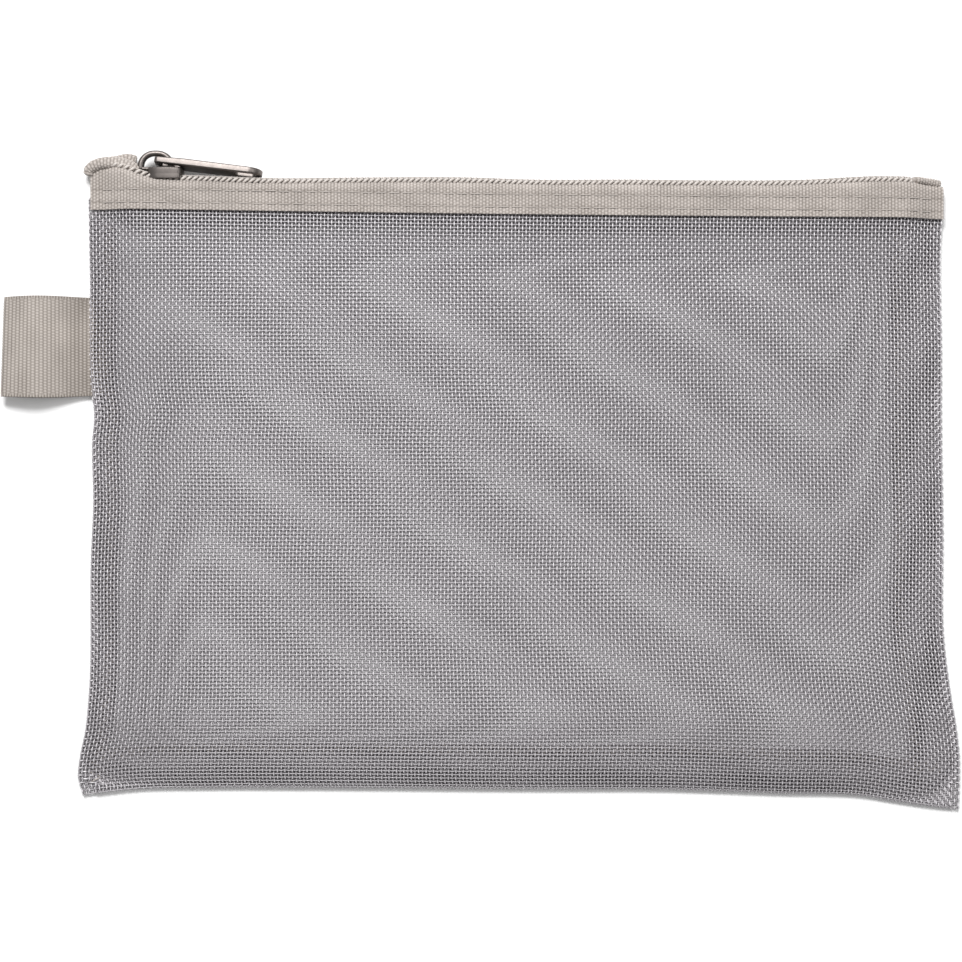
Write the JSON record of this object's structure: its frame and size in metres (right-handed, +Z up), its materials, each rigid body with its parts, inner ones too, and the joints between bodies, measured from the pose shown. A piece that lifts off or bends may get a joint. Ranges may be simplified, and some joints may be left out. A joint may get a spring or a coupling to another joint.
{
  "type": "zip mesh pouch",
  "caption": "Flat zip pouch of open woven mesh with a taped zip along its top, a slider with a long pull tab, and a folded ribbon loop on one side.",
  "frame": {"origin": "on the flat outer face of the back panel, near the middle of the pouch, which lies on its back", "axes": "+X along the zip from the loop side to the far side, +Y from the bottom seam to the zip, +Z up out of the front panel"},
  "size_m": [0.2403, 0.1652, 0.0106],
  "materials": {
    "mesh_cloth": "open plain weave of smooth grey yarn with a slight sheen",
    "tape": "ribbed warm grey woven tape, matte",
    "thread": "twisted polyester thread, soft sheen",
    "coil": "dyed nylon monofilament, satin",
    "slider_metal": "brown-grey gunmetal plating, satin"
  },
  "bodies": {
    "pouch": {"front_panel": "mesh_cloth", "back_panel": "mesh_cloth", "left_seam_allowance": "mesh_cloth", "right_seam_allowance": "mesh_cloth", "bottom_seam_allowance": "mesh_cloth", "left_seam_thread": "thread", "right_seam_thread": "thread", "bottom_seam_thread": "thread", "front_zipper_tape": "tape", "back_zipper_tape": "tape", "front_coil": "coil", "back_coil": "coil", "front_coil_cord": "thread", "back_coil_cord": "thread", "front_coil_stitch": "thread", "back_coil_stitch": "thread", "front_topstitch_upper": "thread", "front_topstitch_lower": "thread", "back_topstitch_upper": "thread", "back_topstitch_lower": "thread", "front_left_tape_end": "tape", "back_left_tape_end": "tape", "right_tape_end": "tape"},
    "slider": {"slider_body": "slider_metal", "slider_bail": "slider_metal"},
    "tab": {"pull_tab": "slider_metal"},
    "loop": {"hang_loop": "tape"}
  },
  "joints": [
    {"name": "slider_slide", "type": "slide", "parent": "pouch", "child": "slider", "axis": [1, 0, 0], "range_m": [0, 0.176]},
    {"name": "pull_tab_swing", "type": "hinge", "parent": "slider", "child": "tab", "pos_m": [-0.0898, 0.08335, 0.0043], "axis": [0, 0, 1], "range_deg": [0, 160]},
    {"name": "hang_loop_flex", "type": "hinge", "parent": "pouch", "child": "loop", "pos_m": [-0.107, 0.03715, 0.0014], "axis": [0, 1, 0], "range_deg": [-60, 80], "stiffness_Nm_per_rad": 0.0008}
  ]
}
